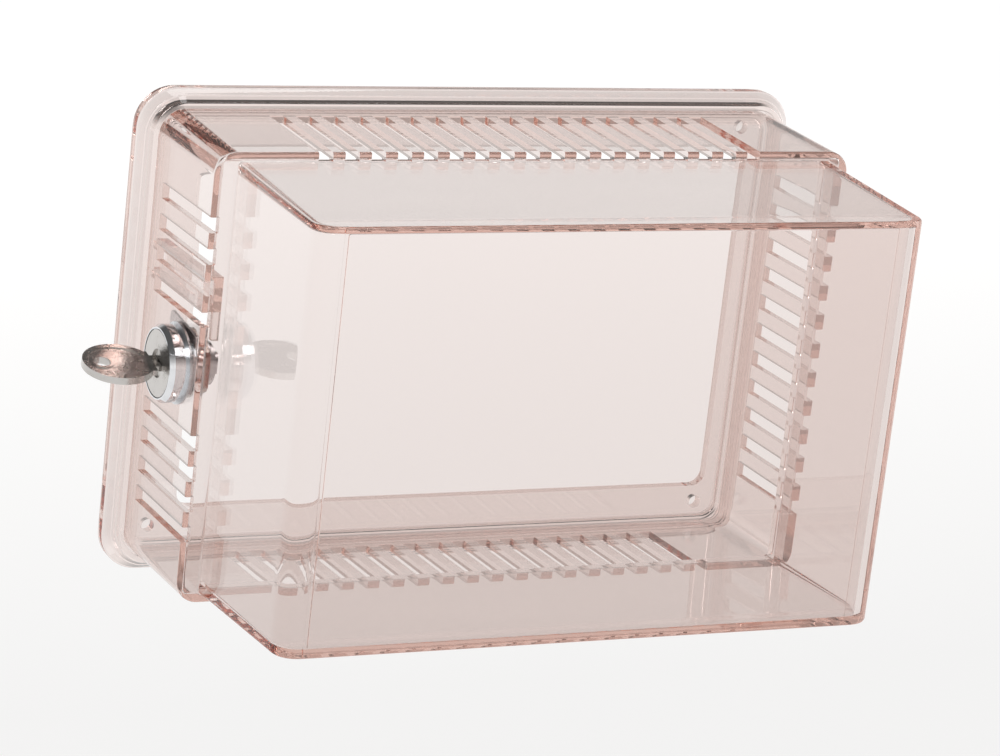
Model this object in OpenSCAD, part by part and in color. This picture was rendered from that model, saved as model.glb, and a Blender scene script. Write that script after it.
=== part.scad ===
// Locking wall guard: a clear ventilated cover on a clear wall frame, held shut by a cam lock.
// Units are millimetres. Y = 0 is the wall, the front faces -Y, +X is right and +Z is up.

/* [Part] */
// Which node to draw

/* [Cover] */
// Half width of the lower tier
low_w = 112.6; // [80:0.1:160]
// Half height of the lower tier at its open rim
rim_h = 75.2; // [50:0.1:120]
// Half height of the lower tier at the shoulder
low_h = 73.6; // [50:0.1:120]
// Corner radius at the open rim
rim_r = 9; // [4:0.5:20]
// Corner radius at the shoulder
low_r = 7.5; // [3:0.5:20]
// Width of the shoulder step at the ends
step_w = 7.4; // [1:0.1:12]
// Width of the shoulder step along the top and bottom
step_h = 3; // [1:0.1:8]
// Distance of the shoulder from the wall
shoulder_y = 56.5; // [30:0.5:90]
// Distance of the front plate's face from the wall
front_y = 122; // [70:0.5:180]
// Half width of the front plate
front_w = 104.9; // [70:0.1:150]
// Half height of the front plate
front_h = 67.6; // [40:0.1:110]
// Corner radius of the front plate's outline
front_r = 1.5; // [1.5:0.5:12]
// Bevel along the top and bottom of the front plate
front_bevel = 0.5; // [0.3:0.1:3]
// Rounding of the front plate's two upright edges
side_round = 6; // [1:0.5:8]
// Wall thickness
wall = 2.5; // [1.5:0.1:4]

/* [Vent slots] */
// Slots along the top and along the bottom
top_slots = 18; // [6:1:30]
// Spacing of the top and bottom slots
top_pitch = 8.95; // [6:0.05:14]
// Width of a top or bottom slot
top_gap = 4.8; // [2:0.1:8]
// Slot places along each end
end_slots = 11; // [5:2:15]
// Spacing of the end slots
end_pitch = 10.1; // [6:0.1:14]
// Width of an end slot
end_gap = 5; // [2:0.1:8]
// Slot places left plain around the lock
lock_plain = 3; // [1:2:5]
// Distance of the slots' start from the wall
slot_y = 14.5; // [10:0.5:30]
// Reach of each slot into the shoulder
notch = 2.9; // [2.5:0.1:5]

/* [Base frame] */
// Half width of the outer flange
base_w = 118.8; // [90:0.1:170]
// Half height of the outer flange
base_h = 81.2; // [55:0.1:130]
// Corner radius of the outer flange
base_r = 13; // [6:0.5:30]
// Flange and land thickness
base_t = 3.5; // [2:0.1:6]
// Height of the middle step of the rim
ridge_y = 6; // [4:0.1:12]
// Height of the lip around the cover
lip_y = 9; // [6:0.1:16]
// Height of the locating rib inside the cover
rib_y = 6.5; // [4:0.1:12]
// Left edge of the wall opening
open_left = -93.8; // [-105:0.5:-60]
// Right edge of the wall opening
open_right = 104; // [60:0.5:107]
// Half height of the wall opening
open_h = 60.3; // [30:0.5:68]
// Radius of a wall screw hole
screw_r = 2.2; // [1.5:0.1:4]
// Half spacing of the screw holes along X
screw_x = 101.2; // [60:0.1:106]
// Half spacing of the screw holes along Z
screw_z = 66.4; // [40:0.1:70]

/* [Lock] */
// Distance of the lock axis from the wall
lock_y = 40; // [25:0.5:45]
// Height of the lock axis
lock_z = 1.2; // [-10:0.5:10]
// Radius of the lock head
head_r = 12.5; // [9:0.1:16]
// Radius of the threaded barrel
barrel_r = 8; // [6:0.1:10]
// Radius of the plug
plug_r = 6; // [4:0.1:7]
// Radius of the plug's face
face_r = 10.7; // [8:0.1:14]
// Running clearance of the plug in its bore
play = 0.05; // [0.01:0.01:0.1]
// Length of the cam from the axis to its tip
cam_len = 17; // [12:0.5:24]
// Width of the cam's arm
cam_w = 9; // [6:0.5:14]
// Turn of the keyway from level
key_tilt = -13; // [-45:1:45]
// Number of wafers
wafers = 6; // [1:1:6]

/* [Hidden] */
$fn = 48;
clear_pc = [0.93, 0.80, 0.77, 0.45];
chrome = [0.80, 0.81, 0.83];
steel = [0.62, 0.63, 0.65];
brass = [0.78, 0.64, 0.34];
nickel = [0.70, 0.69, 0.66];
sliver = 0.01;
sit = 0.15;                                // gap under the cover's rim
rim_y = base_t + sit;
up_w = low_w - step_w;                     // foot of the upper tier
up_h = low_h - step_h;
up_r = 2;
slot_w = low_w - notch;                    // inner ends of the slots at the shoulder
slot_h = low_h - notch;
lip_in_w = low_w + 0.5;
lip_in_h = rim_h + 0.5;
lip_t = 1.9;
ridge_t = 3.8;
rib_w = low_w - wall - 0.4;
rib_h = rim_h - wall - 0.5;
rib_t = 1.7;
jog_z = 52.5;                              // small step in the opening's left edge
jog_w = 3.6;
// Lock stack, measured outward from the wall's outer face along the lock axis
seat = 0.05;                               // air gap of a washer on the plastic
trim_t = 0.8;
collar_top = 2.6;
head_mid = 5.4;
face_top = 7;
recess_z = 5;
plate_t = 1;
plate_top = 13;
plate_low = 7;
plate_half = 11.4;
plate_turn = -7;
plate_shift = 1.2;
nut_washer_t = 0.5;
nut_t = 2.4;
nut_af = 20.5;
barrel_end = -7.4;
stop_t = 0.8;
cam_t = 1.6;
gap = 0.1;
stop_top = barrel_end - gap;
cam_top = stop_top - stop_t;
cam_end = cam_top - cam_t;
washer_t = 0.7;
screw_head_t = 2;
tail_w = 6;
tail_end = cam_end + 0.15;
cam_screw_r = 1.7;
dish_r = 4.6;                              // shallow dish around the keyway
way_t = 2.2;
way_h = 7.6;
way_end = -6.6;
blade_t = 1.8;
blade_h = 7;
// Key bow: centre, half length, half width and thickness, then its sunk field and ring hole
bow_c = face_top + 12.8;
bow_long = 11.6;
bow_wide = 10.6;
bow_t = 2.4;
field_t = 0.3;
ring_r = 2.7;
neck_w = 12;
wafer_t = 0.7;
wafer_w = 5.2;
wafer_h = 10.6;
wafer_z0 = 3.2;
wafer_pitch = 1.6;
wafer_lift = 0.7;
stop_turn = 90;
pin_turn = 30;
// Cut depth of the key at each wafer
cuts = [0.3, 0.5, 0.35, 0.6, 0.45, 0.65];
// Catch on the base frame that the cam turns behind
catch_in = low_w - wall - 1.1;
catch_out = 103;
catch_low = lock_z + cam_len + 1.5;
catch_high = 31.5;
catch_wall = 2.2;
catch_lip_low = lock_z + 9.5;
catch_face = lock_y + cam_w/2 + 0.5;
catch_end = catch_face + 2.5;
catch_lip_in = 105.4;

// ---------- shared shapes ----------
// Rounded rectangle given by half sizes
module rounded(w, h, r) {
    square([2*(w - r), 2*h], center = true);
    square([2*w, 2*(h - r)], center = true);
    for (sx = [-1, 1], sz = [-1, 1]) translate([sx*(w - r), sz*(h - r)]) circle(r);
}

// Rounded slab between two distances from the wall
module slab(w, h, r, y0, y1) {
    translate([0, -y0, 0]) rotate([90, 0, 0]) linear_extrude(y1 - y0) rounded(w, h, r);
}

// Ring with an outer and an inner rounded outline
module frame_ring(w, h, r, t, y0, y1) {
    translate([0, -y0, 0]) rotate([90, 0, 0]) linear_extrude(y1 - y0) difference() {
        rounded(w, h, r);
        rounded(w - t, h - t, max(r - t, 1));
    }
}

// Box given by its two opposite corners
module block(a, b) {
    translate(a) cube(b - a);
}

// Lock frame: local z points out of the wall, local x is up, local y points to the wall side
module at_lock() {
    translate([-low_w, -lock_y, lock_z]) rotate([0, -90, 0]) children();
}

module disc(r, z0, z1, sides = 48) {
    translate([0, 0, z0]) cylinder(r = r, h = z1 - z0, $fn = sides);
}

// ---------- base frame ----------
module opening() {
    block([open_left, -lip_y - 2, -open_h + 5], [open_right, 1, open_h - 5]);
    block([open_left + 5, -lip_y - 2, -open_h], [open_right - 5, 1, open_h]);
    for (sx = [open_left + 5, open_right - 5], sz = [-1, 1])
        translate([sx, 1, sz*(open_h - 5)]) rotate([90, 0, 0]) cylinder(r = 5, h = lip_y + 3);
}

module catch_block() {
    // side walls, inner web and front end of an open channel
    for (z = [catch_low, catch_high - catch_wall])
        block([-catch_in, -catch_end, z], [-catch_out, -1, z + catch_wall]);
    block([-catch_out - catch_wall, -catch_end, catch_low], [-catch_out, -1, catch_high]);
    block([-catch_in, -catch_end, catch_low], [-catch_out, -catch_face, catch_high]);
    // lip that the cam turns behind
    block([-catch_lip_in, -catch_end, catch_lip_low], [-catch_out, -catch_face, catch_low + 1]);
}

module base_frame() {
    color(clear_pc) {
        difference() {
            union() {
                slab(base_w, base_h, base_r, 0, base_t);
                frame_ring(lip_in_w + ridge_t, lip_in_h + ridge_t, rim_r + ridge_t, ridge_t, 1, ridge_y);
                frame_ring(lip_in_w + lip_t, lip_in_h + lip_t, rim_r + lip_t, lip_t, 1, lip_y);
                frame_ring(rib_w, rib_h, rim_r - wall, rib_t, 1, rib_y);
            }
            difference() {
                opening();
                // the opening's left edge stands proud above the small step
                block([open_left - 1, -lip_y - 3, jog_z], [open_left + jog_w, 2, open_h + 1]);
            }
            for (sx = [-1, 1], sz = [-1, 1])
                translate([sx*screw_x, 1, sz*screw_z]) rotate([90, 0, 0])
                    cylinder(r = screw_r, h = base_t + 2);
        }
        catch_block();
    }
}

// ---------- cover ----------
// The hollow (inset = wall) has tighter corners than the outside
module lower_tier(inset, y0, y1) {
    hull() {
        slab(low_w - inset, rim_h - inset, rim_r - 2.4*inset, y0, y0 + sliver);
        slab(low_w - inset, low_h - inset, low_r - 2.4*inset, y1 - sliver, y1);
    }
}

// The upright edges at the front are rounded in plan; the level ones only have a small bevel
module upper_tier(inset, y0, y1) {
    fillet = side_round - inset;
    corner = front_r - inset/3;
    hull() {
        slab(up_w - inset, up_h - inset, up_r - inset/2, y0, y0 + sliver);
        for (a = [0 : 18 : 90])
            slab(front_w - inset - fillet*(1 - cos(a)), front_h - inset, corner,
                 y1 - front_bevel - sliver - fillet*(1 - sin(a)), y1 - front_bevel - fillet*(1 - sin(a)));
        slab(front_w - inset - fillet - front_bevel, front_h - inset - front_bevel, corner,
             y1 - sliver, y1);
    }
}

module vent_slots() {
    for (i = [0 : top_slots - 1], s = [-1, 1]) {
        x = (i - (top_slots - 1)/2)*top_pitch;
        z0 = min(s*slot_h, s*(rim_h + 2));
        block([x - top_gap/2, -shoulder_y - 1, z0],
              [x + top_gap/2, -slot_y, z0 + rim_h + 2 - slot_h]);
    }
    for (i = [0 : end_slots - 1], s = [-1, 1]) {
        k = i - (end_slots - 1)/2;
        x0 = min(s*slot_w, s*(low_w + 2));
        if (s > 0 || abs(k) > lock_plain/2)
            block([x0, -shoulder_y - 1, k*end_pitch - end_gap/2],
                  [x0 + low_w + 2 - slot_w, -slot_y, k*end_pitch + end_gap/2]);
    }
}

module cover_shell() {
    color(clear_pc) difference() {
        union() {
            lower_tier(0, rim_y, shoulder_y);
            upper_tier(0, shoulder_y - 1, front_y);
        }
        lower_tier(wall, rim_y - sliver, shoulder_y - wall);
        upper_tier(wall, shoulder_y - wall - 1, front_y - wall);
        vent_slots();
        at_lock() disc(barrel_r + 0.1, -wall - 2, 2);
    }
}

// ---------- lock body ----------
module sector(r, a0, a1) {
    polygon(concat([[0, 0]], [for (k = [0 : 6]) let (a = a0 + (a1 - a0)*k/6) [r*cos(a), r*sin(a)]]));
}

module lock_housing() {
    color(chrome) at_lock() {
        difference() {
            union() {
                disc(head_r - 1.2, trim_t, collar_top);
                disc(head_r, collar_top, head_mid);
                translate([0, 0, head_mid])
                    cylinder(r1 = head_r, r2 = head_r - 1, h = face_top - head_mid);
                disc(barrel_r, barrel_end, trim_t + 0.5);
                // stop on the barrel's end face
                translate([0, 0, barrel_end - stop_t]) linear_extrude(stop_t + 0.2)
                    difference() {
                        intersection() { circle(barrel_r); sector(12, 75, 75 + pin_turn); }
                        circle(barrel_r - 1);
                    }
            }
            disc(plug_r + play, barrel_end - 2, face_top + 1);
            disc(face_r + 0.35, recess_z, face_top + 1);
            // grooves that take the wafers when the key is out, at both ends of the turn
            for (turn = [0, 90]) rotate([0, 0, key_tilt + turn])
                translate([-2.9, -6.9, wafer_z0 - wafer_pitch*(wafers - 1) - 1])
                    cube([5.8, 13.8, wafer_pitch*(wafers - 1) + 2]);
            // thread grooves
            for (z = [barrel_end + 0.6 : 0.9 : -4.9]) translate([0, 0, z]) difference() {
                disc(barrel_r + 1, 0, 0.3);
                disc(barrel_r - 0.25, -1, 1);
            }
        }
    }
}

module lock_trim_washer() {
    color(steel) at_lock() difference() {
        disc(head_r + 0.6, seat, trim_t);
        disc(barrel_r + 0.1, -1, 2);
    }
}

module lock_backing_plate() {
    color(steel) at_lock() difference() {
        rotate([0, 0, plate_turn]) translate([(plate_top - plate_low)/2, plate_shift, -wall - plate_t])
            linear_extrude(plate_t - seat) rounded((plate_top + plate_low)/2, plate_half, 1.2);
        disc(barrel_r + 0.1, -wall - 3, 0);
    }
}

module lock_nut_washer() {
    color(steel) at_lock() difference() {
        disc(10.2, -wall - plate_t - nut_washer_t, -wall - plate_t);
        disc(barrel_r + 0.1, -wall - 4, 0);
    }
}

module lock_nut() {
    top = -wall - plate_t - nut_washer_t;
    color(nickel) at_lock() difference() {
        intersection() {
            disc(nut_af/sqrt(3), top - nut_t, top, 6);
            disc(nut_af/2 + 1.1, top - nut_t, top);
        }
        disc(barrel_r + 0.05, top - nut_t - 1, top + 1);
    }
}

// ---------- turning parts ----------
function wafer_z(i) = wafer_z0 - wafer_pitch*i;

module lock_plug() {
    color(nickel) at_lock() rotate([0, 0, key_tilt]) difference() {
        union() {
            disc(face_r, recess_z + 0.1, face_top - 0.1);
            disc(plug_r, barrel_end, recess_z + 0.3);
            rotate([0, 0, -key_tilt]) translate([-tail_w/2, -tail_w/2, tail_end])
                cube([tail_w, tail_w, barrel_end - tail_end + 0.2]);
        }
        translate([-way_t/2, -way_h/2, way_end]) cube([way_t, way_h, face_top - way_end + 1]);
        disc(dish_r, face_top - 0.8, face_top + 1);
        for (i = [0 : wafers - 1])
            translate([-wafer_w/2 - 0.1, -7, wafer_z(i) - wafer_t/2 - 0.05])
                cube([wafer_w + 0.2, 14, wafer_t + 0.1]);
        disc(cam_screw_r + 0.05, tail_end - 1, way_end - 0.4, 24);
    }
}

module stop_washer() {
    // relief for the housing's stop, one degree wider than the turn at each end
    color(steel) at_lock() difference() {
        disc(barrel_r, stop_top - stop_t, stop_top);
        translate([0, 0, stop_top - stop_t - 1]) linear_extrude(stop_t + 2) difference() {
            sector(12, 74, 76 + pin_turn + stop_turn);
            circle(barrel_r - 1.3);
        }
        translate([-tail_w/2 - 0.05, -tail_w/2 - 0.05, stop_top - 2])
            cube([tail_w + 0.1, tail_w + 0.1, 4]);
    }
}

module cam() {
    // at rest the arm points to the wall side
    color(steel) at_lock() difference() {
        translate([0, 0, cam_end]) linear_extrude(cam_t - gap) {
            circle(7);
            translate([-cam_w/2, 0]) square([cam_w, cam_len - cam_w/2]);
            translate([0, cam_len - cam_w/2]) circle(cam_w/2);
        }
        translate([-tail_w/2 - 0.05, -tail_w/2 - 0.05, cam_end - 1]) cube([tail_w + 0.1, tail_w + 0.1, 4]);
    }
}

module cam_washer() {
    color(steel) at_lock() difference() {
        disc(5, cam_end - washer_t, cam_end);
        disc(cam_screw_r + 0.1, cam_end - 2, cam_end + 1, 24);
    }
}

module cam_screw() {
    top = cam_end - washer_t;
    color(steel) at_lock() difference() {
        union() {
            disc(3.6, top - screw_head_t, top);
            disc(cam_screw_r, top - 0.5, way_end - 0.6, 24);
        }
        for (a = [0, 90]) rotate([0, 0, a])
            translate([-2.2, -0.4, top - screw_head_t - 1]) cube([4.4, 0.8, 2]);
    }
}

module wafer(i) {
    // flat plate with a window; the key's cut holds it level with the plug
    edge = blade_h/2 - cuts[i] + wafer_lift + 0.1;
    color(brass) at_lock() rotate([0, 0, key_tilt])
        translate([0, 0, wafer_z(i) - wafer_t/2]) linear_extrude(wafer_t) difference() {
            square([wafer_w, wafer_h], center = true);
            translate([-1.15, -3.9]) square([2.3, 3.9 + edge]);
            translate([wafer_w/2 - 0.9, 2.2]) square([1, 1.4]);
        }
}

module wafer_1() { wafer(0); }
module wafer_2() { wafer(1); }
module wafer_3() { wafer(2); }
module wafer_4() { wafer(3); }
module wafer_5() { wafer(4); }
module wafer_6() { wafer(5); }

module wafer_springs() {
    // one small coil beside each wafer, in the wafer's side notch
    color(steel) at_lock() rotate([0, 0, key_tilt])
        for (i = [0 : wafers - 1])
            translate([wafer_w/2 - 0.42, 2.3, wafer_z(i)]) rotate([-90, 0, 0])
                linear_extrude(1.2, twist = -720, slices = 24, $fn = 6)
                    translate([0.2, 0]) circle(0.08, $fn = 6);
}

// Oval outline of the key's bow, drawn in from its edge
module bow_oval(inset) {
    scale([(bow_long - inset)/(bow_wide - inset), 1]) circle(bow_wide - inset, $fn = 72);
}

module key() {
    color(nickel) at_lock() rotate([0, 0, key_tilt]) rotate([0, -90, 0]) {
        // flat key drawn with its length along x and its width along y
        difference() {
            union() {
                translate([way_end + 0.4, -blade_h/2, -blade_t/2])
                    cube([bow_c - 4 - way_end, blade_h, blade_t]);
                translate([bow_c - bow_long + 0.4, -neck_w/2, -blade_t/2]) cube([5, neck_w, blade_t]);
                translate([bow_c, 0, -bow_t/2]) linear_extrude(bow_t) bow_oval(0);
            }
            // key ring hole and the sunk field on both faces of the bow
            translate([bow_c + bow_long - 6.2, 0, -bow_t]) cylinder(r = ring_r, h = 2*bow_t);
            for (z = [bow_t/2 - field_t, -bow_t/2 - 1])
                translate([bow_c, 0, z]) linear_extrude(1 + field_t)
                    difference() {
                        bow_oval(2);
                        translate([bow_long - 6.2, 0]) circle(ring_r + 1);
                    }
            // bitting cuts, one under each wafer
            for (i = [0 : wafers - 1])
                translate([wafer_z(i) - 0.55, blade_h/2 - cuts[i], -2]) cube([1.1, 3, 4]);
            // grooves along the blade
            for (s = [-1, 1]) translate([way_end, -0.8, s*0.9 - 0.35]) cube([face_top - way_end, 1.2, 0.7]);
        }
    }
}

base_frame();
cover_shell();
lock_housing();
lock_trim_washer();
lock_backing_plate();
lock_nut_washer();
lock_nut();
lock_plug();
stop_washer();
cam();
cam_washer();
cam_screw();
wafer_1();
wafer_2();
wafer_3();
wafer_4();
wafer_5();
wafer_6();
wafer_springs();
key();
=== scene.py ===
import bmesh
import bpy
import math
from mathutils import Matrix, Vector


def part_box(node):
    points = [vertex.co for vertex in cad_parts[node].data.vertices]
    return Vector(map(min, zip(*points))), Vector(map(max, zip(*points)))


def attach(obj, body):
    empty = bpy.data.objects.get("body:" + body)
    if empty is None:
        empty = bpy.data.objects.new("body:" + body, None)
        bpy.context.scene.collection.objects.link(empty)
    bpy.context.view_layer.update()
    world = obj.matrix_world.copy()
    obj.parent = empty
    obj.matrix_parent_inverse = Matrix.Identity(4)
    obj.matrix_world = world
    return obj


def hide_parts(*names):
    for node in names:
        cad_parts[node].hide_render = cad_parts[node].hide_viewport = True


# A clear locking wall guard above a plain pale floor. Metres; the wall is y = 0 and the front faces -y.
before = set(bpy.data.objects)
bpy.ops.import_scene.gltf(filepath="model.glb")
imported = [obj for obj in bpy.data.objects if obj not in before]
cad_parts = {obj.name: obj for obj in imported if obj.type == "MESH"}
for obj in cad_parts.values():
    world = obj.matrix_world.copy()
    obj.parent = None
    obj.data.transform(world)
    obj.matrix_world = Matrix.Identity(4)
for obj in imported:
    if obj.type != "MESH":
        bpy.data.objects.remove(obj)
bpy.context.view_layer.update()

# ---------------------------------------------------------------- sizes read from the frame
MM = 0.001
base_lo, base_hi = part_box("base_frame")
cov_lo, cov_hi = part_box("cover_shell")
head_lo, head_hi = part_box("lock_housing")
LOW_W = cov_hi[0]                       # half width of the lower tier
RIM_H = cov_hi[2]                       # half height at the open rim
RIM_Y = -cov_hi[1]
FRONT_Y = -cov_lo[1]
BASE_W, BASE_H = base_hi[0], base_hi[2]
LOCK_Y = (head_lo[1] + head_hi[1])/2
LOCK_Z = (head_lo[2] + head_hi[2])/2

# the cover: walls, tiers, edges and slots
WALL = 2.5*MM
LOW_H = RIM_H - 1.6*MM                  # half height at the shoulder
STEP_W, STEP_H = 7.4*MM, 3*MM           # shoulder step at the ends, and along top and bottom
NOTCH = 2.9*MM                          # reach of a slot into the shoulder
SHOULDER_Y = 56.5*MM
FRONT_W, FRONT_H = LOW_W - 7.7*MM, RIM_H - 7.6*MM
RIM_R, LOW_R, FRONT_R = 9*MM, 7.5*MM, 1.2*MM
UP_W, UP_H, UP_R = LOW_W - STEP_W, LOW_H - STEP_H, 1.4*MM
SMALLEST_R = 0.6*MM
SIDE_ROUND = 8*MM                       # plan rounding of the front's upright edges
EASE = 2/2.6                            # eased ends: a plain quarter circle shows a hard line there
EDGE, INNER_EDGE = 0.45*MM, 0.4*MM      # small rounding of the front's other edges
SHOULDER_EDGE, FOOT = 0.8*MM, 0.7*MM    # rounding of the shoulder, and fillet at the foot of the upper tier
TOP_SLOTS, TOP_PITCH, TOP_GAP = 18, 8.95*MM, 4.8*MM
END_SLOTS, END_PITCH, END_GAP, PLAIN = 11, 10.1*MM, 5*MM, 3
SLOT_Y = 14.5*MM
LOCK_HOLE_R = 8.1*MM

# the base frame: plate, stepped rim, locating rib, opening, screw holes and catch
PLATE = 3.5*MM
BASE_R = 13*MM
LIP_W, LIP_H, LIP_R = LOW_W + 0.5*MM, RIM_H + 0.5*MM, 9*MM
RIDGE, RIDGE_Y, LIP, LIP_Y = 3.8*MM, 6*MM, 1.9*MM, 9*MM
RIB_W, RIB_H, RIB_R = LOW_W - WALL - 0.4*MM, RIM_H - WALL - 0.5*MM, RIM_R - WALL
RIB_T, RIB_Y = 1.7*MM, 6.5*MM
OPEN_LEFT, OPEN_RIGHT, OPEN_H, OPEN_R = -93.8*MM, 104*MM, 60.3*MM, 5*MM
JOG_W, JOG_Z, JOG_R = 3.6*MM, 52.5*MM, 1.6*MM
SCREW_X, SCREW_Z, SCREW_R = 101.2*MM, 66.4*MM, 2.2*MM
CAM_LEN, CAM_W = 17*MM, 9*MM
CATCH_IN, CATCH_OUT, CATCH_HIGH, CATCH_WALL = LOW_W - WALL - 1.1*MM, 103*MM, 31.5*MM, 2.2*MM
CATCH_LIP_IN, CATCH_LIP_LOW = 105.4*MM, 9.5*MM
CATCH_EDGE = 0.4*MM


# ---------------------------------------------------------------- materials
def material(name):
    m = bpy.data.materials.new(name)
    m.use_nodes = True
    nt = m.node_tree
    return m, nt, nt.nodes["Principled BSDF"]


def node(nt, kind, **props):
    n = nt.nodes.new(kind)
    for k, v in props.items():
        setattr(n, k, v)
    return n


def coords(nt, scale=(1, 1, 1)):
    tc = node(nt, "ShaderNodeTexCoord")
    mp = node(nt, "ShaderNodeMapping")
    mp.inputs["Scale"].default_value = scale
    nt.links.new(tc.outputs["Object"], mp.inputs["Vector"])
    return mp.outputs["Vector"]


def noise(nt, vec, scale, detail, rough):
    n = node(nt, "ShaderNodeTexNoise")
    n.inputs["Scale"].default_value = scale
    n.inputs["Detail"].default_value = detail
    n.inputs["Roughness"].default_value = rough
    nt.links.new(vec, n.inputs["Vector"])
    return n.outputs["Fac"]


def remap(nt, value, a, b, lo, hi):
    n = node(nt, "ShaderNodeMapRange")
    n.inputs["From Min"].default_value = a
    n.inputs["From Max"].default_value = b
    n.inputs["To Min"].default_value = lo
    n.inputs["To Max"].default_value = hi
    nt.links.new(value, n.inputs["Value"])
    return n.outputs["Result"]


def bump(nt, bsdf, height, strength, distance):
    n = node(nt, "ShaderNodeBump")
    n.inputs["Strength"].default_value = strength
    n.inputs["Distance"].default_value = distance
    nt.links.new(height, n.inputs["Height"])
    nt.links.new(n.outputs["Normal"], bsdf.inputs["Normal"])


def clear_plastic(name, flow, skin, tint, density):
    """Moulded clear plastic: faint pink in the body, so long paths along a wall glow salmon."""
    m, nt, b = material(name)
    b.inputs["Base Color"].default_value = (*skin, 1)
    b.inputs["Transmission Weight"].default_value = 1.0
    b.inputs["IOR"].default_value = 1.5
    v = coords(nt)
    smudge = noise(nt, v, 38.0, 4.0, 0.6)
    nt.links.new(remap(nt, smudge, 0.45, 0.8, 0.0, 0.05), b.inputs["Roughness"])
    ripple = noise(nt, coords(nt, flow), 9.0, 1.5, 0.4)
    bump(nt, b, ripple, 0.25, 0.0006)
    vol = node(nt, "ShaderNodeVolumeAbsorption")
    vol.inputs["Color"].default_value = (*tint, 1)
    vol.inputs["Density"].default_value = density
    out = nt.nodes["Material Output"]
    nt.links.new(vol.outputs["Volume"], out.inputs["Volume"])
    return m


def metal(name, color, rough_lo, rough_hi, grain, bump_strength, wear):
    """Plated metal: fine polishing marks, a cloudy roughness and slightly duller patches."""
    m, nt, b = material(name)
    b.inputs["Metallic"].default_value = 1.0
    v = coords(nt)
    cloud = noise(nt, v, 220.0, 4.0, 0.6)
    mix = node(nt, "ShaderNodeMix", data_type="RGBA")
    mix.inputs["A"].default_value = (*color, 1)
    mix.inputs["B"].default_value = (*[c*w for c, w in zip(color, wear)], 1)
    nt.links.new(remap(nt, cloud, 0.52, 0.8, 0.0, 0.8), mix.inputs["Factor"])
    nt.links.new(mix.outputs["Result"], b.inputs["Base Color"])
    marks = noise(nt, coords(nt, grain), 900.0, 2.0, 0.5)
    nt.links.new(remap(nt, cloud, 0.3, 0.75, rough_lo, rough_hi), b.inputs["Roughness"])
    bump(nt, b, marks, bump_strength, 0.00005)
    return m


SKIN = (0.862, 0.797, 0.777)
SALMON = (0.80, 0.30, 0.12)
cover_mat = clear_plastic("clear_cover_plastic", (1, 3, 1), SKIN, SALMON, 9.0)
base_mat = clear_plastic("clear_base_plastic", (2, 1, 2), SKIN, SALMON, 9.0)
chrome_mat = metal("chrome_plate", (0.82, 0.83, 0.85), 0.04, 0.16, (1, 1, 8), 0.12, (0.8, 0.8, 0.82))
steel_mat = metal("zinc_plate", (0.66, 0.67, 0.69), 0.22, 0.4, (6, 1, 1), 0.3, (0.8, 0.8, 0.78))
nickel_mat = metal("nickel_plate", (0.60, 0.58, 0.56), 0.16, 0.34, (1, 6, 6), 0.35, (0.75, 0.74, 0.72))
brass_mat = metal("stamped_brass", (0.80, 0.62, 0.30), 0.25, 0.42, (1, 8, 1), 0.3, (0.8, 0.75, 0.6))


# ---------------------------------------------------------------- mesh helpers
def quarter(cx, cz, r, start, steps):
    """Points of a quarter circle in x and z, anticlockwise from the start angle."""
    angles = [math.radians(start + 90*k/steps) for k in range(steps + 1)]
    return [(cx + r*math.cos(a), cz + r*math.sin(a)) for a in angles]


def outline(w, h, r):
    """Points of a rounded rectangle in x and z, anticlockwise from the right."""
    pts = []
    corners = ((w - r, h - r, 0), (-w + r, h - r, 90), (-w + r, -h + r, 180), (w - r, -h + r, 270))
    for cx, cz, start in corners:
        pts += quarter(cx, cz, r, start, 12)
    return pts


def skin_rings(name, bm, rings):
    """Closes rings of vertices, given in order, into one solid with a cap at each end."""
    count = len(rings[0])
    for a, b in zip(rings, rings[1:]):
        for i in range(count):
            bm.faces.new((a[i], a[(i + 1) % count], b[(i + 1) % count], b[i]))
    bm.faces.new(rings[0])
    bm.faces.new(rings[-1])
    bmesh.ops.recalc_face_normals(bm, faces=bm.faces)
    return finish_mesh(name, bm)


def loft(name, sections):
    """Closed solid through rounded outlines (w, h, r, y)."""
    bm = bmesh.new()
    rings = [[bm.verts.new((x, -y, z)) for x, z in outline(w, h, r)] for w, h, r, y in sections]
    return skin_rings(name, bm, rings)


def prism(name, pts, y0, y1):
    """Closed solid over an outline in x and z, from y0 to y1."""
    bm = bmesh.new()
    rings = [[bm.verts.new((x, y, z)) for x, z in pts] for y in (y0, y1)]
    return skin_rings(name, bm, rings)


def finish_mesh(name, bm):
    me = bpy.data.meshes.new(name)
    bm.to_mesh(me)
    bm.free()
    ob = bpy.data.objects.new(name, me)
    bpy.context.scene.collection.objects.link(ob)
    return ob


def boxes(name, ranges):
    """One mesh of separate boxes, each given as (low corner, high corner)."""
    bm = bmesh.new()
    for lo, hi in ranges:
        vs = [bm.verts.new((x, y, z)) for x in (lo[0], hi[0]) for y in (lo[1], hi[1]) for z in (lo[2], hi[2])]
        for f in ((0, 1, 3, 2), (4, 6, 7, 5), (0, 4, 5, 1), (2, 3, 7, 6), (0, 2, 6, 4), (1, 5, 7, 3)):
            bm.faces.new([vs[i] for i in f])
    bmesh.ops.recalc_face_normals(bm, faces=bm.faces)
    return finish_mesh(name, bm)


def cylinder(name, r, start, end, u, v, axis="X", n=64):
    """Cylinder along x (centre y = u, z = v) or along y (centre x = u, z = v)."""
    bm = bmesh.new()
    rings = []
    for t in (start, end):
        ring = []
        for k in range(n):
            a = 2*math.pi*k/n
            c, d = r*math.cos(a), r*math.sin(a)
            ring.append(bm.verts.new((t, u + c, v + d) if axis == "X" else (u + c, t, v + d)))
        rings.append(ring)
    return skin_rings(name, bm, rings)


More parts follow.
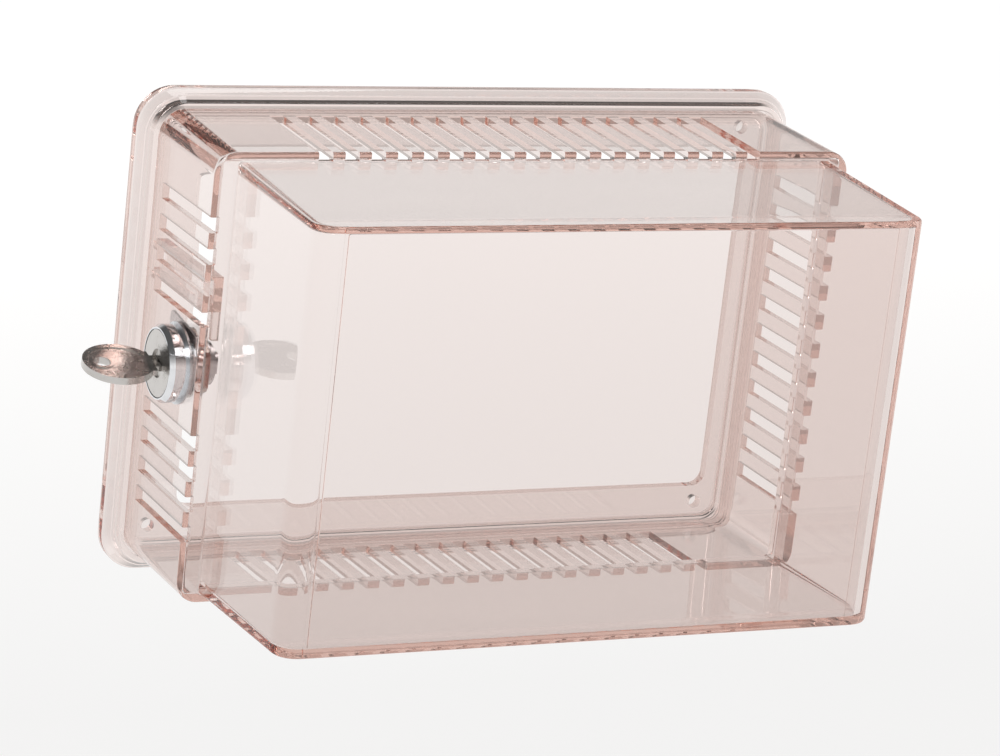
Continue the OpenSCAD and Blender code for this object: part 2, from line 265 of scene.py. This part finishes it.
def bake(ob):
    """Turns an object's modifiers into plain mesh."""
    deps = bpy.context.evaluated_depsgraph_get()
    me = bpy.data.meshes.new_from_object(ob.evaluated_get(deps))
    ob.modifiers.clear()
    ob.data = me


def boolean(ob, cutter, how="DIFFERENCE"):
    """Cuts or joins at once and keeps only the result."""
    m = ob.modifiers.new("bool", "BOOLEAN")
    m.operation, m.solver, m.object = how, "EXACT", cutter
    bake(ob)
    bpy.data.objects.remove(cutter, do_unlink=True)


def smooth(ob):
    """Smooth shading that keeps edges sharper than 32 degrees."""
    for p in ob.data.polygons:
        p.use_smooth = True
    ob.data.set_sharp_from_angle(angle=math.radians(32))
    m = ob.modifiers.new("weighted", "WEIGHTED_NORMAL")
    m.keep_sharp = True
    m.weight = 90


def hand_over(ob, mat, body, cad_node):
    """Gives a rebuilt moulding its material and body, in place of the CAD node, which is hidden."""
    ob.data.materials.clear()
    ob.data.materials.append(mat)
    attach(ob, body)
    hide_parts(cad_node)


# ---------------------------------------------------------------- cover
def at(y, inset=0.0):
    """Wall outline (w, h, r) of the cover at a distance y from the wall; inset gives the hollow's.

    The hollow's corners are tighter than the outside's, most of all in the lower tier.
    """
    if y <= SHOULDER_Y:
        t = (y - RIM_Y)/(SHOULDER_Y - RIM_Y)
        w, h, r = LOW_W, RIM_H + (LOW_H - RIM_H)*t, RIM_R + (LOW_R - RIM_R)*t - inset*1.8
    else:
        t = (y - SHOULDER_Y)/(FRONT_Y - SHOULDER_Y)
        w, h, r = UP_W + (FRONT_W - UP_W)*t, UP_H + (FRONT_H - UP_H)*t, UP_R + (FRONT_R - UP_R)*t
    return w - inset, h - inset, max(r - inset*0.6, SMALLEST_R)


def shoulder_edge(y, inset=0.0):
    """Sections that round the outer edge of the shoulder, or of the hollow behind it."""
    w, h, r = at(y, inset)
    out = []
    for k in range(5):
        a = math.radians(90*k/4)
        cut, drop = SHOULDER_EDGE*(1 - math.cos(a)), SHOULDER_EDGE*(1 - math.sin(a))
        out.append((w - cut, h - cut, max(r - cut, SMALLEST_R), y - drop))
    return out


def foot(y, inset=0.0):
    """Sections of the small fillet at the foot of the upper tier; the hollow keeps one corner radius."""
    out = []
    for k in range(4):
        a = math.radians(90*k/3)
        spread = FOOT*(1 - math.sin(a))
        r = UP_R + (FOOT if inset else spread)
        out.append((UP_W - inset + spread, UP_H - inset + spread, r, y + FOOT*(1 - math.cos(a))))
    return out


def straight(y0, y1):
    """Four sections along a tier's walls, ending at y1."""
    out = []
    for k in range(1, 5):
        y = y0 + (y1 - y0)*k/4
        out.append((*at(y), y))
    return out


def front_end(inset, level):
    """Sections that end the upper tier: upright edges rounded in plan, level edges only eased."""
    w, h, r = at(FRONT_Y - SIDE_ROUND, inset)
    fillet = SIDE_ROUND - 0.2*inset
    face = FRONT_Y - inset
    steps = 14
    out = []
    for k in range(steps + 1):
        a = math.radians(90*k/steps)
        across, along = fillet*(1 - math.cos(a)**EASE), fillet*(1 - math.sin(a)**EASE)
        out.append((w - across, h, r, face - level - along))
    out.append((w - fillet - level*0.3, h - level*0.3, r, face - level*0.3))
    out.append((w - fillet - level, h - level, r, face))
    return out


def cover_outside():
    sections = [(*at(RIM_Y), RIM_Y)]
    sections += straight(RIM_Y, SHOULDER_Y - SHOULDER_EDGE)
    sections += shoulder_edge(SHOULDER_Y)[1:]
    sections += foot(SHOULDER_Y)
    sections += straight(SHOULDER_Y + FOOT, FRONT_Y - SIDE_ROUND - EDGE)
    sections += front_end(0, EDGE)[1:]
    return loft("cover_clear", sections)


def cover_hollow():
    ledge = SHOULDER_Y - WALL
    sections = [(*at(RIM_Y, WALL), RIM_Y - 1*MM), (*at(RIM_Y, WALL), RIM_Y + 0.01*MM)]
    sections += shoulder_edge(ledge, WALL)
    sections += foot(ledge, WALL)
    sections += front_end(WALL, INNER_EDGE)
    return loft("cover_hollow", sections)


def vent_slots():
    """Cutters for the slots along top and bottom, and at both ends with the lock's place left plain."""
    far, y_in = 3*MM, -SHOULDER_Y - 1*MM
    slots = []
    for i in range(TOP_SLOTS):
        x = (i - (TOP_SLOTS - 1)/2)*TOP_PITCH
        for s in (-1, 1):
            z0, z1 = sorted((s*(LOW_H - NOTCH), s*(RIM_H + far)))
            slots.append(((x - TOP_GAP/2, y_in, z0), (x + TOP_GAP/2, -SLOT_Y, z1)))
    for i in range(END_SLOTS):
        k = i - (END_SLOTS - 1)/2
        for s in (-1, 1):
            if s < 0 and abs(k) < PLAIN/2:
                continue
            x0, x1 = sorted((s*(LOW_W - NOTCH), s*(LOW_W + far)))
            slots.append(((x0, y_in, k*END_PITCH - END_GAP/2), (x1, -SLOT_Y, k*END_PITCH + END_GAP/2)))
    return boxes("slot_cutters", slots)


def build_cover():
    body = cover_outside()
    boolean(body, cover_hollow())
    boolean(body, vent_slots())
    lock_hole = cylinder("lock_cutter", LOCK_HOLE_R, -LOW_W - 5*MM, -LOW_W + 6*MM, LOCK_Y, LOCK_Z)
    boolean(body, lock_hole)
    smooth(body)
    hand_over(body, cover_mat, "cover", "cover_shell")


# ---------------------------------------------------------------- base frame
def rim_step(w, h, r, y, edge=0.5*MM):
    """Sections of one rounded step of the rim, ending flat at y."""
    out = []
    for a in (0, math.pi/6, math.pi/3, math.pi/2):
        cut = edge*(1 - math.cos(a))
        out.append((w - cut, h - cut, r - cut/2, y - edge + edge*math.sin(a)))
    return out


def base_rim():
    """The plate with its stepped rim, the groove that takes the cover, and the locating rib."""
    sections = [(BASE_W, BASE_H, BASE_R, 0)]
    sections += rim_step(BASE_W, BASE_H, BASE_R, PLATE)
    sections += rim_step(LIP_W + RIDGE, LIP_H + RIDGE, LIP_R + RIDGE, RIDGE_Y)
    sections += rim_step(LIP_W + LIP, LIP_H + LIP, LIP_R + LIP, LIP_Y)
    ease = 0.3*MM
    sections += [(LIP_W + ease, LIP_H + ease, LIP_R + ease, LIP_Y), (LIP_W, LIP_H, LIP_R, LIP_Y - ease)]
    sections += [(LIP_W, LIP_H, LIP_R, PLATE), (RIB_W, RIB_H, RIB_R, PLATE)]
    # rib: how far each section sits inside its outer face, its smaller corner, and its height
    for inset, corner, y in ((0, 0, RIB_Y - 0.4*MM), (0.4*MM, 0, RIB_Y), (RIB_T - ease, 1*MM, RIB_Y),
                             (RIB_T, 1.2*MM, RIB_Y - ease), (RIB_T, 1.2*MM, PLATE)):
        sections.append((RIB_W - inset, RIB_H - inset, RIB_R - corner, y))
    return loft("base_clear", sections)


def opening():
    """Cutter for the large opening, with round corners and the small step in its left edge."""
    pts = quarter(OPEN_RIGHT - OPEN_R, OPEN_H - OPEN_R, OPEN_R, 0, 8)
    pts += quarter(OPEN_LEFT + JOG_W + JOG_R, OPEN_H - JOG_R, JOG_R, 90, 8)
    jog = ((JOG_W, 0.8*MM), (JOG_W - 0.2*MM, 0.2*MM), (1.2*MM, -0.1*MM), (0.4*MM, -0.5*MM), (0, -1.4*MM))
    for dx, dz in jog:
        pts.append((OPEN_LEFT + dx, JOG_Z + dz))
    pts += quarter(OPEN_LEFT + OPEN_R, -OPEN_H + OPEN_R, OPEN_R, 180, 8)
    pts += quarter(OPEN_RIGHT - OPEN_R, -OPEN_H + OPEN_R, OPEN_R, 270, 8)
    return prism("opening_cutter", pts, -8*MM, 2*MM)


def catch_channel():
    """The channel above the lock and the lip that the cam turns behind."""
    low = LOCK_Z + CAM_LEN + 1.5*MM
    face = -LOCK_Y + CAM_W/2 + 0.5*MM
    end, foot_y, outer = face + 2.5*MM, -1*MM, -CATCH_OUT - CATCH_WALL
    catch = boxes("catch_walls", [((-CATCH_IN, -end, low), (-CATCH_OUT, foot_y, low + CATCH_WALL))])
    top = ((-CATCH_IN, -end, CATCH_HIGH - CATCH_WALL), (-CATCH_OUT, foot_y, CATCH_HIGH))
    side = ((outer, -end, low), (-CATCH_OUT, foot_y, CATCH_HIGH))
    front = ((-CATCH_IN, -end, low), (-CATCH_OUT, -face, CATCH_HIGH))
    lip = ((-CATCH_LIP_IN, -end, LOCK_Z + CATCH_LIP_LOW), (-CATCH_OUT, -face, low + 1*MM))
    for part in (top, side, front, lip):
        boolean(catch, boxes("catch_part", [part]), "UNION")
    m = catch.modifiers.new("edges", "BEVEL")
    m.width, m.segments, m.limit_method = CATCH_EDGE, 3, "ANGLE"
    bake(catch)
    return catch


def build_base():
    body = base_rim()
    boolean(body, opening())
    for sx in (-1, 1):
        for sz in (-1, 1):
            hole = cylinder("screw_cutter", SCREW_R, -8*MM, 2*MM, sx*SCREW_X, sz*SCREW_Z, "Y", 40)
            boolean(body, hole)
    boolean(body, catch_channel(), "UNION")
    smooth(body)
    hand_over(body, base_mat, "base", "base_frame")


build_cover()
build_base()

# ---------------------------------------------------------------- materials of the carried-over pieces
STEEL_PIECES = ("lock_trim_washer", "lock_backing_plate", "lock_nut_washer", "stop_washer", "cam",
                "cam_washer", "cam_screw", "wafer_springs")
FINISH = {"lock_housing": chrome_mat, "lock_nut": nickel_mat, "lock_plug": nickel_mat, "key": nickel_mat}
FINISH.update((piece, steel_mat) for piece in STEEL_PIECES)
for name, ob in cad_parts.items():
    if name in ("cover_shell", "base_frame"):
        continue
    ob.data.materials.clear()
    ob.data.materials.append(FINISH.get(name, brass_mat))

# ---------------------------------------------------------------- stage, light and camera
scene = bpy.context.scene
scene.view_settings.view_transform = "Standard"
BOUNCES = 72                            # light that is caught inside the clear walls needs many
scene.cycles.max_bounces = BOUNCES
scene.cycles.transmission_bounces = BOUNCES
scene.cycles.glossy_bounces = BOUNCES
scene.cycles.transparent_max_bounces = 16
scene.cycles.caustics_refractive = True


def pale_floor():
    """A plain pale floor that glows as painted light, with a painted falloff: a little brighter behind the
    guard than under it.
    """
    bm = bmesh.new()
    half, floor_z = 5.0, -0.26
    bm.faces.new([bm.verts.new((x*half, y*half, floor_z)) for x, y in ((-1, -1), (1, -1), (1, 1), (-1, 1))])
    ob = finish_mesh("pale_floor", bm)
    m, nt, b = material("pale_floor_painted_light")
    b.inputs["Base Color"].default_value = (0.10, 0.10, 0.10, 1)
    b.inputs["Roughness"].default_value = 0.9
    b.inputs["Specular IOR Level"].default_value = 0.0
    b.inputs["Emission Color"].default_value = (1, 0.995, 0.99, 1)
    painted_falloff_axes = node(nt, "ShaderNodeSeparateXYZ")
    nt.links.new(coords(nt), painted_falloff_axes.inputs["Vector"])
    # painted light: the glow rises from 0.84 under the guard to 1.0 behind it, a painted falloff that is
    # dimmer beneath the guard
    nt.links.new(remap(nt, painted_falloff_axes.outputs["Y"], 0.3, 1.1, 0.84, 1.0), b.inputs["Emission Strength"])
    ob.data.materials.append(m)


pale_floor()


def area(name, loc, size, power):
    """A soft rectangular light that points at the guard and doesn't show in the picture."""
    ld = bpy.data.lights.new(name, "AREA")
    ld.shape, ld.size, ld.size_y = "RECTANGLE", size[0], size[1]
    ld.energy = power
    ob = bpy.data.objects.new(name, ld)
    ob.location = loc
    ob.rotation_euler = (-Vector(loc)).to_track_quat("-Z", "Y").to_euler()
    ob.visible_camera = False
    scene.collection.objects.link(ob)


area("key_light", (-0.9, -1.1, 1.3), (0.7, 0.7), 9)
area("top_light", (0.2, -0.1, 1.5), (1.2, 0.7), 9)
area("side_light", (1.5, -0.6, 0.5), (0.5, 1.1), 5)


def studio_world():
    """Pale near the horizon and dark overhead, so that gloss and chrome have something to mirror."""
    world = bpy.data.worlds.new("studio")
    scene.world = world
    world.use_nodes = True
    nt = world.node_tree
    bg = nt.nodes["Background"]
    bg.inputs["Color"].default_value = (1, 0.985, 0.97, 1)
    tc = node(nt, "ShaderNodeTexCoord")
    height = node(nt, "ShaderNodeSeparateXYZ")
    nt.links.new(tc.outputs["Generated"], height.inputs["Vector"])
    nt.links.new(remap(nt, height.outputs["Z"], 0.10, 0.56, 0.95, 0.10), bg.inputs["Strength"])


studio_world()

# viewed from the front left and above, with a slight roll
AZ, EL, ROLL = (math.radians(angle) for angle in (-27.18, 16.34, 6.56))
LENS = 141.1
EYE = Vector((-0.5617, -1.1364, 0.3544))
back = Vector((math.sin(AZ)*math.cos(EL), -math.cos(AZ)*math.cos(EL), math.sin(EL)))
right = Vector((0, 0, 1)).cross(back).normalized()
up = back.cross(right)
rot = Matrix((right, up, back)).transposed()
cam_data = bpy.data.cameras.new("camera")
cam_data.lens = LENS
cam_data.sensor_width = 36.0
cam_data.clip_end = 50
cam = bpy.data.objects.new("camera", cam_data)
cam.matrix_world = Matrix.Translation(EYE) @ rot.to_4x4() @ Matrix.Rotation(ROLL, 4, "Z")
scene.collection.objects.link(cam)
scene.camera = cam

bpy.context.view_layer.update()
